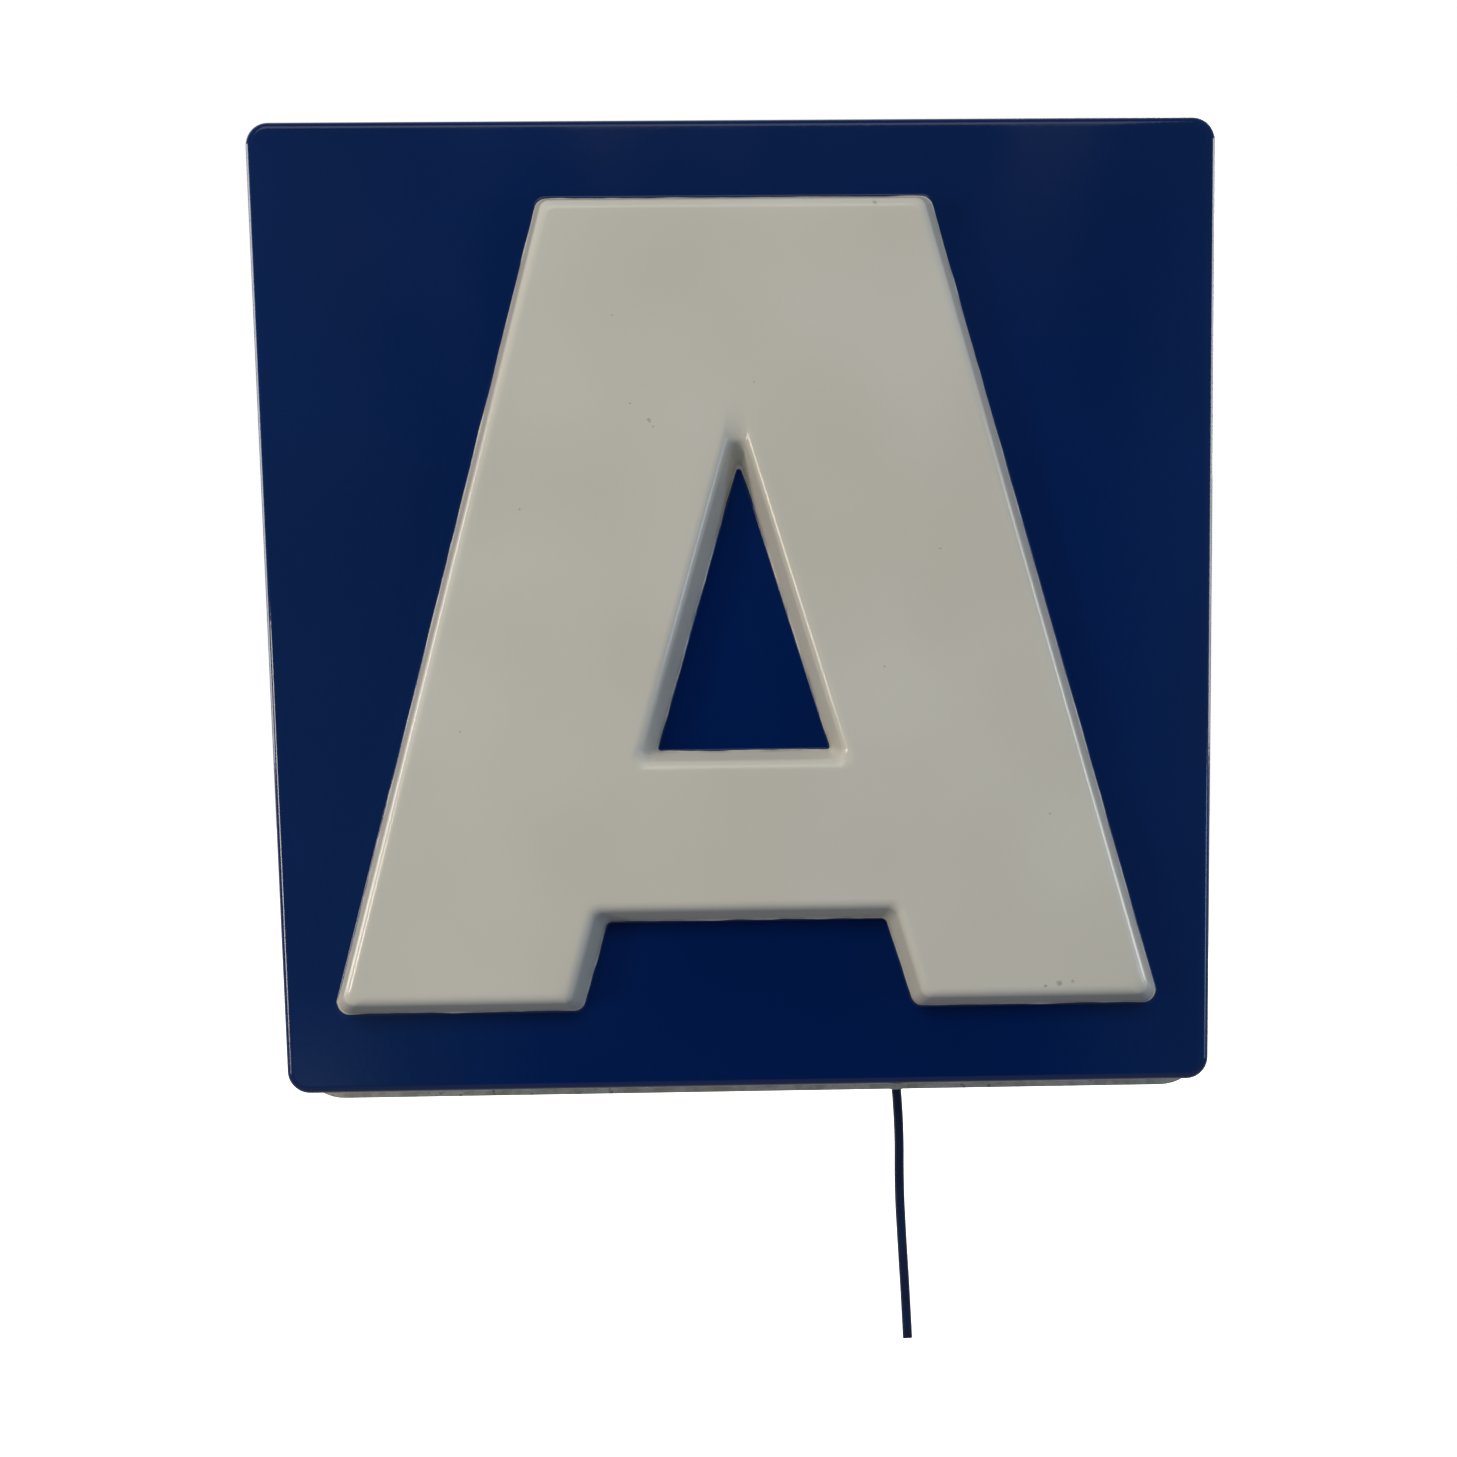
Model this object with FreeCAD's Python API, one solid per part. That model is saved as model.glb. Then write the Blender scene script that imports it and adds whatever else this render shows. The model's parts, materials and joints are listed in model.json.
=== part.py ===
import FreeCAD, Part
import os
from math import atan, cos, degrees, radians, sin, tan

Vector = FreeCAD.Vector

# Illuminated letter sign for a wall, in millimetres. +X is right, +Z is up and the face looks along -Y.
# The origin is on the wall, at the centre of the four wall screws.
# "out" is always a distance in front of the wall, so a thing at out stands at y = -out.

# Face: one formed acrylic shell
face_width = 502.0
face_height = 506.0
face_out = 88.0
face_corner = 12.0
face_edge_radius = 4.5
shell_wall = 3.0
shell_draft = 1.5  # degrees

# Raised letter
relief = 16.0
relief_draft = 7.5
relief_edge_radius = 2.5
letter_height = 422.5
letter_foot_width = 446.0
letter_top_width = 203.0
letter_rise = 1.75
letter_corner = 5.0
notch_height = 48.0
notch_mouth = 179.0
notch_top = 150.0
counter_width = 92.6
counter_height = 151.6
counter_up = 138.5
counter_foot_corner = 1.5
counter_top_corner = 6.0

# Back pan
pan_sheet = 1.2
pan_out = 20.0
pan_corner = 12.0
wall_screw_spacing = 400.0
wall_screw_hole = 3.25
drain_spacing = 360.0
drain_radius = 2.5

# Retaining frame, gasket and their screws
flange_width = 12.2
frame_past_flange = 0.6
frame_sheet = 1.5
frame_leg = 11.0
frame_leg_depth = 9.5
gasket_inset = 1.5
gasket_to_screw = 0.8
gasket_thickness = 2.0
gasket_gap = 0.3
frame_screw = 2.0
frame_screw_inset = 4.4
frame_screw_spacing = 170.0
frame_screw_play = 0.2
shell_hole_play = 0.5
frame_joint = 0.2
nut_size = 8.0
nut_thickness = 3.0

# Lamp tubes, 26 mm in diameter and 15 W
tube_spacing = 230.0
tube_out = 46.0
tube_radius = 13.0
tube_glass = 0.8
tube_length = 437.4
tube_neck = 12.0
cap_length = 9.2
cap_radius = 12.8
pin_radius = 1.175
pin_spacing = 12.7
pin_length = 7.1

# Lampholders
holder_width = 24.0
holder_thickness = 14.0
holder_foot = 13.0
holder_foot_thickness = 5.0
holder_end_play = 0.3
pin_play = 0.3
contact_sheet = 0.8
contact_width = 5.0

# Rails and tray, which lift the gear off the pan
rail_height = 8.0
rail_sheet = 1.0
rail_past_tube = 25.0
rail_foot = 12.0
tray_margin = 13.5
tray_end_margin = 8.0
tray_foot = 10.0

# Ballasts
ballast_spacing = 76.0
ballast_length = 150.0
ballast_width = 41.0
ballast_height = 28.0
ballast_body = 112.0
ballast_foot_sheet = 1.5
ballast_foot_width = 31.0
ballast_groove = 1.2
ballast_groove_pitch = 7.0
ballast_up = -22.0
ballast_terminal = 9.0
ballast_terminal_width = 26.0
ballast_terminal_depth = 12.0
ballast_entry_pitch = 8.0

# Starters and their sockets
starter_up = 96.0
socket_width = 36.0
socket_height = 27.0
socket_depth = 15.0
socket_cup = 6.0
starter_radius = 10.75
starter_length = 34.0
starter_base = 3.0
starter_play = 0.35
starter_pin = 1.45
starter_pin_head = 2.4
starter_pin_spacing = 12.7
starter_turn = 45.0  # degrees

# Terminal block, with two poles of two ways each
poles = 2
ways = 4
way_pitch = 12.0
lug_length = 9.0
lug_thickness = 4.0
terminal_height = 20.0
terminal_depth = 17.0
terminal_up = -132.0
terminal_base = 11.0
terminal_bar = (3.5, 9.0)
terminal_bar_length = 16.0
terminal_bar_gap = 4.0
grub_radius = 1.5
grub_from_middle = 5.0
wire_entry = 1.6

# Mains lead, two cores side by side in a flat sheath
cord_width = 5.8
cord_thickness = 3.6
cord_core = 1.15
cord_copper = 0.55
cord_bare = 0.5
cord_side = 84.2
cord_out = 11.5
cord_fall = [
    (0.0, 0.0, 0.0),
    (1.6, 0.2, -22.0),
    (1.1, 0.7, -60.0),
    (2.5, 1.1, -92.0),
    (4.3, 1.2, -126.0),
    (5.4, 1.0, -153.5),
]  # from the tip of the bush

# Cord bush and clamp
bush_reach = 17.0
bush_inside = 3.0
bush_root = 5.2
bush_tip = 3.9
bush_collar = 7.0
bush_collar_thickness = 1.8
clamp_width = 27.0
clamp_length = 11.0
clamp_thickness = 3.0
clamp_screw_spacing = 17.0

wire_radius = 1.1
gear_screw = 1.95
fit = 0.05

# Worked out from the sizes above
half_width = face_width / 2
half_height = face_height / 2
shell_back = pan_out + gasket_thickness
flange_out = shell_back + shell_wall
frame_out = flange_out + frame_sheet
rail_out = pan_sheet + rail_height
tube_x = tube_spacing / 2
ballast_x = ballast_spacing / 2
holder_z = tube_length / 2 + holder_end_play
rail_z = holder_z - 3.0
rail_end = holder_z + holder_thickness + holder_foot + 1.0
rail_half_length = tube_x + rail_past_tube
tray_half_width = ballast_x + ballast_width / 2 + tray_margin
tray_bottom = terminal_up - terminal_height / 2 - tray_end_margin
tray_top = starter_up + socket_height / 2 + tray_end_margin
bush_end = -half_height - bush_reach
cord_route = [(cord_side + x, -cord_out + y, bush_end + z) for x, y, z in cord_fall]


def block(x0, x1, out0, out1, z0, z1):
    return Part.makeBox(x1 - x0, out1 - out0, z1 - z0, Vector(x0, -out1, z0))


def rod_out(radius, x, z, out0, out1):
    """A cylinder that stands out from the wall."""
    return Part.makeCylinder(radius, out1 - out0, Vector(x, -out0, z), Vector(0, -1, 0))


def rod_up(radius, x, out, z0, z1):
    return Part.makeCylinder(radius, z1 - z0, Vector(x, -out, z0), Vector(0, 0, 1))


def joined(pieces):
    whole = pieces[0].fuse(pieces[1:])
    return whole.removeSplitter()


def mirrored_x(shape):
    return shape.mirror(Vector(0, 0, 0), Vector(1, 0, 0))


def mirrored_z(shape):
    return shape.mirror(Vector(0, 0, 0), Vector(0, 0, 1))


def save(name, shape):
    solids = shape.Solids
    bad = [solid for solid in solids if not solid.isValid()]
    print(name, "solids", len(solids), "volume", round(sum(s.Volume for s in solids), 1), "bad", len(bad))
    shape.exportStep("parts/" + name + ".step")


def rectangle(half_x, half_z):
    return [(-half_x, -half_z), (half_x, -half_z), (half_x, half_z), (-half_x, half_z)]


def inset(corners, distance):
    """An anticlockwise outline moved inwards by a distance, or outwards if it is negative."""
    count = len(corners)
    moved = []
    for index, (x, z) in enumerate(corners):
        before = Vector(x - corners[index - 1][0], 0, z - corners[index - 1][1]).normalize()
        after_x, after_z = corners[(index + 1) % count]
        after = Vector(after_x - x, 0, after_z - z).normalize()
        normals = Vector(-before.z - after.z, 0, before.x + after.x)
        scale = distance / (1 + before.dot(after))
        moved.append((x + normals.x * scale, z + normals.z * scale))
    return moved


def rounded_wire(corners, radius, out):
    """A closed outline in a plane parallel to the wall, with every corner an arc."""
    places = [Vector(x, -out, z) for x, z in corners]
    count = len(places)
    arcs = []
    for index, corner in enumerate(places):
        back = (places[index - 1] - corner).normalize()
        ahead = (places[(index + 1) % count] - corner).normalize()
        half_angle = back.getAngle(ahead) / 2
        reach = radius / tan(half_angle)
        middle = corner + (back + ahead).normalize() * (radius / sin(half_angle) - radius)
        arcs.append((corner + back * reach, middle, corner + ahead * reach))
    edges = []
    for index, (start, middle, end) in enumerate(arcs):
        edges.append(Part.Arc(start, middle, end).toShape())
        edges.append(Part.LineSegment(end, arcs[(index + 1) % count][0]).toShape())
    return Part.Wire(edges)


def plate(corners, radius, out0, out1):
    face = Part.Face(rounded_wire(corners, radius, out0))
    return face.extrude(Vector(0, out0 - out1, 0))


def frustum(base, base_radius, base_out, top, top_radius, top_out):
    wires = [rounded_wire(base, base_radius, base_out), rounded_wire(top, top_radius, top_out)]
    return Part.makeLoft(wires, True, True)


def edges_at(shape, out):
    """The edges that lie wholly in the plane at this distance from the wall."""
    return [e for e in shape.Edges if all(abs(v.Y + out) < 0.001 for v in e.Vertexes)]


def screw(x, z, seat, shank, length, head_radius, head_height):
    """A pan head screw that points at the wall, with a cross recess in its head."""
    body = rod_out(shank, x, z, seat - length, seat)
    head = rod_out(head_radius, x, z, seat, seat + head_height)
    head = head.makeFillet(head_height * 0.45, edges_at(head, seat + head_height))
    depth = seat + head_height * 0.45
    arm, half_slot = head_radius * 0.55, head_radius * 0.13
    across = block(x - arm, x + arm, depth, seat + head_height + 1, z - half_slot, z + half_slot)
    along = block(x - half_slot, x + half_slot, depth, seat + head_height + 1, z - arm, z + arm)
    return joined([body, head]).cut([across, along])


def gear_screws(places, seat, length):
    return Part.Compound([screw(x, z, seat, gear_screw, length, gear_screw * 1.85, 2.2) for x, z in places])


def screw_holes(places, out0, out1):
    return [rod_out(gear_screw + fit, x, z, out0, out1) for x, z in places]


def path_edges(points):
    """Straight runs joined by arcs, each arc as large as its shorter run allows."""
    places = [Vector(*p) for p in points]
    edges, radii, last = [], [], places[0]
    for before, corner, after in zip(places, places[1:], places[2:]):
        back, ahead = before - corner, after - corner
        reach = 0.45 * min(back.Length, ahead.Length)
        half_turn = (radians(180) - back.getAngle(ahead)) / 2
        radius = reach / tan(half_turn)
        back.normalize()
        ahead.normalize()
        start, end = corner + back * reach, corner + ahead * reach
        inward = (back + ahead).normalize()
        middle = corner + inward * (radius / cos(half_turn) - radius)
        edges.append(Part.LineSegment(last, start).toShape())
        edges.append(Part.Arc(start, middle, end).toShape())
        radii.append(radius)
        last = end
    edges.append(Part.LineSegment(last, places[-1]).toShape())
    return edges, radii


def swept(points, section, name):
    """A section swept along a route, with its bends and its volume printed."""
    edges, radii = path_edges(points)
    length = sum(e.Length for e in edges)
    solid = Part.Wire(edges).makePipeShell([section], True, False)
    area = Part.Face(section).Area
    print("  ", name, "length", round(length, 1), "radii", [round(r) for r in radii],
          "volume ratio", round(solid.Volume / (area * length), 4))
    return solid


def flat_section(place, width, thickness):
    """The flat lead's outline: two straight sides joined by half circles, across the route."""
    x, y, z = place
    half, radius = width / 2 - thickness / 2, thickness / 2
    front_left, front_right = Vector(x - half, y - radius, z), Vector(x + half, y - radius, z)
    back_left, back_right = Vector(x - half, y + radius, z), Vector(x + half, y + radius, z)
    top = Part.LineSegment(front_left, front_right)
    right = Part.Arc(front_right, Vector(x + width / 2, y, z), back_right)
    bottom = Part.LineSegment(back_right, back_left)
    left = Part.Arc(back_left, Vector(x - width / 2, y, z), front_left)
    return Part.Wire([side.toShape() for side in (top, right, bottom, left)])


def wire(points, name, radius=wire_radius):
    """An insulated wire, whose points are (x, out, z)."""
    places = [(x, -out, z) for x, out, z in points]
    start = Vector(*places[0])
    section = Part.Wire(Part.makeCircle(radius, start, Vector(*places[1]) - start))
    return swept(places, section, name)


# Face


def letter_outline():
    foot = letter_rise - letter_height / 2
    top = foot + letter_height
    notch = foot + notch_height
    return [
        (-letter_foot_width / 2, foot),
        (-notch_mouth / 2, foot),
        (-notch_top / 2, notch),
        (notch_top / 2, notch),
        (notch_mouth / 2, foot),
        (letter_foot_width / 2, foot),
        (letter_top_width / 2, top),
        (-letter_top_width / 2, top),
    ]


def counter_outline():
    base = letter_rise - letter_height / 2 + counter_up
    return [(-counter_width / 2, base), (counter_width / 2, base), (0, base + counter_height)]


def letter_solid(base_inset, base_out, top_inset, top_out):
    letter, counter = letter_outline(), counter_outline()
    body = frustum(inset(letter, base_inset), letter_corner, base_out,
                   inset(letter, top_inset), letter_corner, top_out)
    hole = frustum(inset(counter, -base_inset), counter_foot_corner, base_out,
                   inset(counter, -top_inset), counter_top_corner, top_out)
    return body.cut(hole)


def box_half(out, wall):
    """Half the shell's width and height at a distance from the wall, and its corner radius."""
    growth = (face_out - out) * tan(radians(shell_draft)) - wall
    return rectangle(half_width + growth, half_height + growth), face_corner + growth


def box_solid(back, front, wall, edge_radius):
    back_corners, back_radius = box_half(back, wall)
    front_corners, front_radius = box_half(front, wall)
    body = frustum(back_corners, back_radius, back, front_corners, front_radius, front)
    return body.makeFillet(edge_radius, edges_at(body, front))


def face_shell():
    slope = atan(relief_draft / relief)
    letter = letter_solid(0, face_out, relief_draft, face_out + relief)
    letter = letter.makeFillet(relief_edge_radius, edges_at(letter, face_out + relief))
    start = shell_wall / cos(slope) - relief_draft * shell_wall / relief
    end = start + relief_draft
    hollow_letter = letter_solid(start, face_out - shell_wall, end, face_out + relief - shell_wall)
    outside = box_solid(shell_back, face_out, 0, face_edge_radius)
    hollow = box_solid(shell_back, face_out - shell_wall, shell_wall, face_edge_radius - shell_wall)
    flange = plate(rectangle(half_width + flange_width, half_height + flange_width),
                   face_corner + flange_width, shell_back, flange_out)
    body = joined([outside, flange, letter])
    holes = [rod_out(frame_screw + shell_hole_play, x, z, shell_back - 1, flange_out + 1)
             for x, z in frame_screw_places()]
    return body.cut([hollow, hollow_letter] + holes)


def frame_screw_places():
    """Three screws along each side of the retaining frame."""
    across = half_width + flange_width - frame_screw_inset
    upright = half_height + flange_width - frame_screw_inset
    steps = (-frame_screw_spacing, 0, frame_screw_spacing)
    sides = [(side * across, step) for side in (-1, 1) for step in steps]
    ends = [(step, side * upright) for side in (-1, 1) for step in steps]
    return sides + ends


def gasket_strips():
    inner_x, inner_z = half_width + gasket_inset, half_height + gasket_inset
    reach = flange_width - frame_screw_inset - frame_screw - gasket_to_screw
    outer_x, outer_z = half_width + reach, half_height + reach
    back, front = pan_out + gasket_gap, shell_back
    long_strip = block(inner_x, outer_x, back, front, -outer_z, outer_z)
    short_strip = block(-inner_x, inner_x, back, front, inner_z, outer_z)
    corner_cut = plate(rectangle(outer_x, outer_z), face_corner, back, front)
    whole = Part.Compound([long_strip, mirrored_x(long_strip), short_strip, mirrored_z(short_strip)])
    return whole.common(corner_cut)


def frame_length(half_run, edge):
    """A straight length of the angle frame along the top, with its outer side at the edge."""
    front_leg = block(-half_run, half_run, flange_out, frame_out, edge - frame_leg, edge)
    outer_leg = block(-half_run, half_run, frame_out - frame_leg_depth, frame_out, edge - frame_sheet, edge)
    return joined([front_leg, outer_leg])


def frame_lengths():
    corner = face_corner + flange_width + frame_past_flange + frame_sheet
    edge = flange_width + frame_past_flange + frame_sheet
    edge_x, edge_z = half_width + edge, half_height + edge
    holes = [rod_out(frame_screw + frame_screw_play, x, z, flange_out - 1, frame_out + 1)
             for x, z in frame_screw_places()]
    top = frame_length(edge_x - corner - frame_joint, edge_z).cut(holes)
    right = frame_length(edge_z - corner - frame_joint, edge_x)
    right.rotate(Vector(0, 0, 0), Vector(0, 1, 0), 90)
    right = right.cut(holes)
    save("retainer_top", top)
    save("retainer_bottom", mirrored_z(top))
    save("retainer_right", right)
    save("retainer_left", mirrored_x(right))
    centre_x, centre_z = edge_x - corner, edge_z - corner
    front_leg = rod_out(corner, centre_x, centre_z, flange_out, frame_out)
    front_leg = front_leg.cut(rod_out(corner - frame_leg, centre_x, centre_z, flange_out, frame_out))
    outer_leg = rod_out(corner, centre_x, centre_z, frame_out - frame_leg_depth, frame_out)
    outer_leg = outer_leg.cut(rod_out(corner - frame_sheet, centre_x, centre_z, 0, frame_out))
    quarter = block(centre_x, edge_x, 0, frame_out, centre_z, edge_z)
    bend = joined([front_leg, outer_leg]).common(quarter)
    low = mirrored_z(bend)
    save("retainer_corners", Part.Compound([bend, low, mirrored_x(bend), mirrored_x(low)]))


def frame_screws():
    length = frame_out - pan_out + pan_sheet + nut_thickness + 2.0
    heads = [screw(x, z, frame_out, frame_screw, length, 3.6, 2.4) for x, z in frame_screw_places()]
    return Part.Compound(heads)


# Back pan and what is fixed to it


def wall_screw_places():
    half = wall_screw_spacing / 2
    return rectangle(half, half)


def back_pan():
    wall = rectangle(half_width, half_height)
    inner = inset(wall, pan_sheet)
    outside = plate(wall, pan_corner, 0, pan_out)
    flange = plate(rectangle(half_width + flange_width, half_height + flange_width),
                   pan_corner + flange_width, pan_out - pan_sheet, pan_out)
    pan = joined([outside, flange]).cut(plate(inner, pan_corner - pan_sheet, pan_sheet, pan_out + 1))
    holes = [rod_out(wall_screw_hole, x, z, -1, pan_sheet + 1) for x, z in wall_screw_places()]
    holes += [rod_out(frame_screw + 0.4, x, z, 0, pan_out + 1) for x, z in frame_screw_places()]
    bottom = -half_height
    holes += [rod_up(drain_radius, x, pan_out / 2, bottom - 1, bottom + pan_sheet + 1)
              for x in (-drain_spacing / 2, drain_spacing / 2)]
    holes.append(rod_up(bush_root + fit, cord_side, cord_out, bottom - 1, bottom + pan_sheet + 1))
    return pan.cut(holes)


def flange_nuts():
    front = pan_out - pan_sheet
    half = nut_size / 2
    nuts = []
    for x, z in frame_screw_places():
        nut = block(x - half, x + half, front - nut_thickness, front, z - half, z + half)
        nuts.append(nut.cut(rod_out(frame_screw + 0.1, x, z, front - nut_thickness, front)))
    return Part.Compound(nuts)


def holder_rail():
    """The top rail: a raised strip with a foot towards the middle of the pan."""
    top = block(-rail_half_length, rail_half_length, rail_out - rail_sheet, rail_out, rail_z, rail_end)
    side = rail_half_length
    inner_leg = block(-side, side, pan_sheet, rail_out, rail_z, rail_z + rail_sheet)
    outer_leg = block(-side, side, pan_sheet, rail_out, rail_end - rail_sheet, rail_end)
    foot = block(-rail_half_length, rail_half_length, pan_sheet, pan_sheet + rail_sheet,
                 rail_z - rail_foot, rail_z + rail_sheet)
    places = [(side * tube_x, holder_foot_z()) for side in (-1, 1)]
    return joined([top, inner_leg, outer_leg, foot]).cut(screw_holes(places, 0, rail_out + 1))


def clamp_places():
    middle = -(rail_z + rail_end) / 2
    return [(cord_side + side * clamp_screw_spacing / 2, middle) for side in (-1, 1)]


def gear_tray():
    deck = block(-tray_half_width, tray_half_width, rail_out - rail_sheet, rail_out, tray_bottom, tray_top)
    pieces = [deck]
    for side in (-1, 1):
        inner, outer = sorted((side * (tray_half_width - rail_sheet), side * tray_half_width))
        pieces.append(block(inner, outer, pan_sheet, rail_out, tray_bottom, tray_top))
        inner, outer = sorted((side * (tray_half_width - rail_sheet), side * (tray_half_width + tray_foot)))
        pieces.append(block(inner, outer, pan_sheet, pan_sheet + rail_sheet, tray_bottom, tray_top))
    places = ballast_screw_places() + socket_screw_places() + terminal_screw_places()
    return joined(pieces).cut(screw_holes(places, rail_out - 2, rail_out + 1))


def holder_foot_z():
    return holder_z + holder_thickness + holder_foot / 2


def lampholder():
    """The top right lampholder. The tube's pins enter down the slot and turn in the ring groove."""
    half = holder_width / 2
    low, high = holder_z, holder_z + holder_thickness
    groove_end = holder_z + pin_length + 0.5
    body = block(tube_x - half, tube_x + half, rail_out, tube_out, low, high)
    head = rod_up(half, tube_x, tube_out, low, high)
    foot = block(tube_x - half + 2, tube_x + half - 2, rail_out, rail_out + holder_foot_thickness,
                 high - 1, high + holder_foot)
    pin_circle = pin_spacing / 2
    outer, inner = pin_circle + pin_radius + pin_play, pin_circle - pin_radius - pin_play
    ring = rod_up(outer, tube_x, tube_out, low, groove_end)
    ring = ring.cut(rod_up(inner, tube_x, tube_out, low, groove_end))
    slot = block(tube_x - pin_radius - pin_play, tube_x + pin_radius + pin_play,
                 tube_out - outer, tube_out + half + 1, low, groove_end)
    pockets = [contact_pocket(side) for side in (-1, 1)]
    foot_front = rail_out + holder_foot_thickness
    hole = rod_out(gear_screw + fit, tube_x, holder_foot_z(), rail_out - 1, foot_front + 1)
    return joined([body, head, foot]).cut([ring, slot, hole] + pockets)


def contact_pocket(side):
    """Where a contact blade lies, just outside the circle that the pins turn in."""
    start = pin_spacing / 2 + pin_radius + fit * 2
    near, far = sorted((tube_x + side * start, tube_x + side * (start + contact_sheet)))
    return block(near, far, tube_out - contact_width / 2, tube_out + contact_width / 2,
                 holder_z + 1, holder_z + pin_length)


def four_corners(shape):
    """Copies at top right, top left, bottom right and bottom left."""
    low = mirrored_z(shape)
    return [shape, mirrored_x(shape), low, mirrored_x(low)]


def ballast_screw_places():
    reach = ballast_length / 2 - 8.0
    return [(side * ballast_x, ballast_up + end * reach) for side in (-1, 1) for end in (-1, 1)]


def ballast():
    """The right ballast: a laminated core in a steel case, on a foot plate with a hole at each end."""
    left, right = ballast_x - ballast_width / 2, ballast_x + ballast_width / 2
    foot_half, foot_front = ballast_foot_width / 2, rail_out + ballast_foot_sheet
    low, high = ballast_up - ballast_length / 2, ballast_up + ballast_length / 2
    foot = block(ballast_x - foot_half, ballast_x + foot_half, rail_out, foot_front, low, high)
    start, front = ballast_up - ballast_body / 2, rail_out + ballast_height
    case = block(left, right, foot_front, front, start, start + ballast_body)
    case = case.makeFillet(2.5, [e for e in case.Edges if e.BoundBox.ZLength > ballast_body - 1])
    grooves = []
    for index in range(1, int(ballast_body / ballast_groove_pitch)):
        z = start + index * ballast_groove_pitch
        for side in (left, right):
            grooves.append(block(side - 0.5, side + 0.5, rail_out, front + 1, z, z + ballast_groove))
    holes = screw_holes(ballast_screw_places(), rail_out - 1, foot_front + 1)
    return joined([foot, case]).cut(grooves + holes)


def ballast_block():
    """The right ballast's connector, against the lower end of its case, with three entries."""
    case_end = ballast_up - ballast_body / 2
    out = ballast_entry_out()
    base, half = out - 4.0, ballast_terminal_width / 2
    front, end = base + ballast_terminal_depth, case_end - ballast_terminal
    cuts = []
    for step in (-1, 0, 1):
        x = ballast_x + step * ballast_entry_pitch
        cuts.append(rod_up(1.5, x, out, end - 1, end + 5))
        cuts.append(rod_out(2.2, x, end + 4.5, front - 4, front + 1))
    return block(ballast_x - half, ballast_x + half, base, front, end, case_end).cut(cuts)


def ballast_entry_out():
    return rail_out + ballast_foot_sheet + 13.0


def socket_screw_places():
    reach = socket_width / 2 - 3.6
    return [(side * ballast_x + end * reach, starter_up + end * 9.0) for side in (-1, 1) for end in (-1, 1)]


def starter_socket(side):
    """A socket with a round cup, and two curved slots that the starter's pins enter and turn in."""
    x, z = side * ballast_x, starter_up
    front = rail_out + socket_depth
    cup_floor = front - socket_cup
    body = block(x - socket_width / 2, x + socket_width / 2, rail_out, front,
                 z - socket_height / 2, z + socket_height / 2)
    upright = [e for e in body.Edges if e.BoundBox.YLength > socket_depth - 0.01]
    body = body.makeFillet(3.0, upright)
    cup = rod_out(starter_radius + starter_play, x, z, cup_floor, front + 1)
    pin_circle = starter_pin_spacing / 2
    play = starter_pin_head + starter_play
    outer = rod_out(pin_circle + play, x, z, rail_out + 1.5, cup_floor)
    ring = outer.cut(rod_out(pin_circle - play, x, z, rail_out + 1.5, cup_floor))
    cuts = [cup, ring.common(slot_sector(x, z, 0)), ring.common(slot_sector(x, z, 180))]
    for turn in (0, starter_turn, 180, 180 + starter_turn):
        across, up = pin_circle * cos(radians(turn)), pin_circle * sin(radians(turn))
        cuts.append(rod_out(play, x + across, z + up, rail_out + 1.5, cup_floor))
    holes = screw_holes(socket_screw_places(), rail_out - 1, front + 1)
    return body.cut(cuts + holes)


def slot_sector(x, z, start):
    """A wedge as wide as the starter's turn, anticlockwise from a start angle seen from the front."""
    reach = starter_radius * 2
    points = [Vector(x, -rail_out, z)]
    for share in (0, 0.5, 1):
        angle = radians(start + share * starter_turn)
        points.append(Vector(x + reach * cos(angle), -rail_out, z + reach * sin(angle)))
    face = Part.Face(Part.makePolygon(points + points[:1]))
    return face.extrude(Vector(0, -socket_depth, 0))


def starter(side):
    """A starter's can, its base disc and its two headed pins."""
    x, z = side * ballast_x, starter_up
    floor = rail_out + socket_depth - socket_cup + starter_play
    base_top = floor + starter_base
    top = floor + starter_length
    can = rod_out(starter_radius, x, z, base_top, top)
    can = can.makeFillet(2.0, edges_at(can, top))
    inside = rod_out(starter_radius - 0.5, x, z, base_top, top - 0.5)
    can = can.cut(inside.makeFillet(1.5, edges_at(inside, top - 0.5)))
    disc = rod_out(starter_radius, x, z, floor, base_top)
    pins, stems = [], []
    for turn in (-1, 1):
        pin_x = x + turn * starter_pin_spacing / 2
        stem = rod_out(starter_pin, pin_x, z, floor - 4.0, base_top)
        head = rod_out(starter_pin_head, pin_x, z, floor - 5.5, floor - 3.5)
        stems.append(stem)
        pins.append(joined([stem, head]))
    return can, disc.cut(stems), Part.Compound(pins)


def way_places():
    return [(index - (ways - 1) / 2) * way_pitch for index in range(ways)]


def terminal_half():
    return ways * way_pitch / 2


def terminal_screw_places():
    reach = terminal_half() + lug_length / 2
    return [(-reach, terminal_up), (reach, terminal_up)]


def pole_bars():
    """One bar per pole, as wide as its two ways."""
    width, half = terminal_half() * 2 / poles, terminal_bar_length / 2
    near, far = rail_out + terminal_bar[0], rail_out + terminal_bar[1]
    bars = []
    for index in range(poles):
        left = -terminal_half() + index * width + terminal_bar_gap / 2
        right = left + width - terminal_bar_gap
        bars.append(block(left, right, near, far, terminal_up - half, terminal_up + half))
    return bars


def grub_places():
    return [(x, terminal_up + end * grub_from_middle) for x in way_places() for end in (-1, 1)]


def grub_screws(radius, out0, out1):
    return [rod_out(radius, x, z, out0, out1) for x, z in grub_places()]


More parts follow.
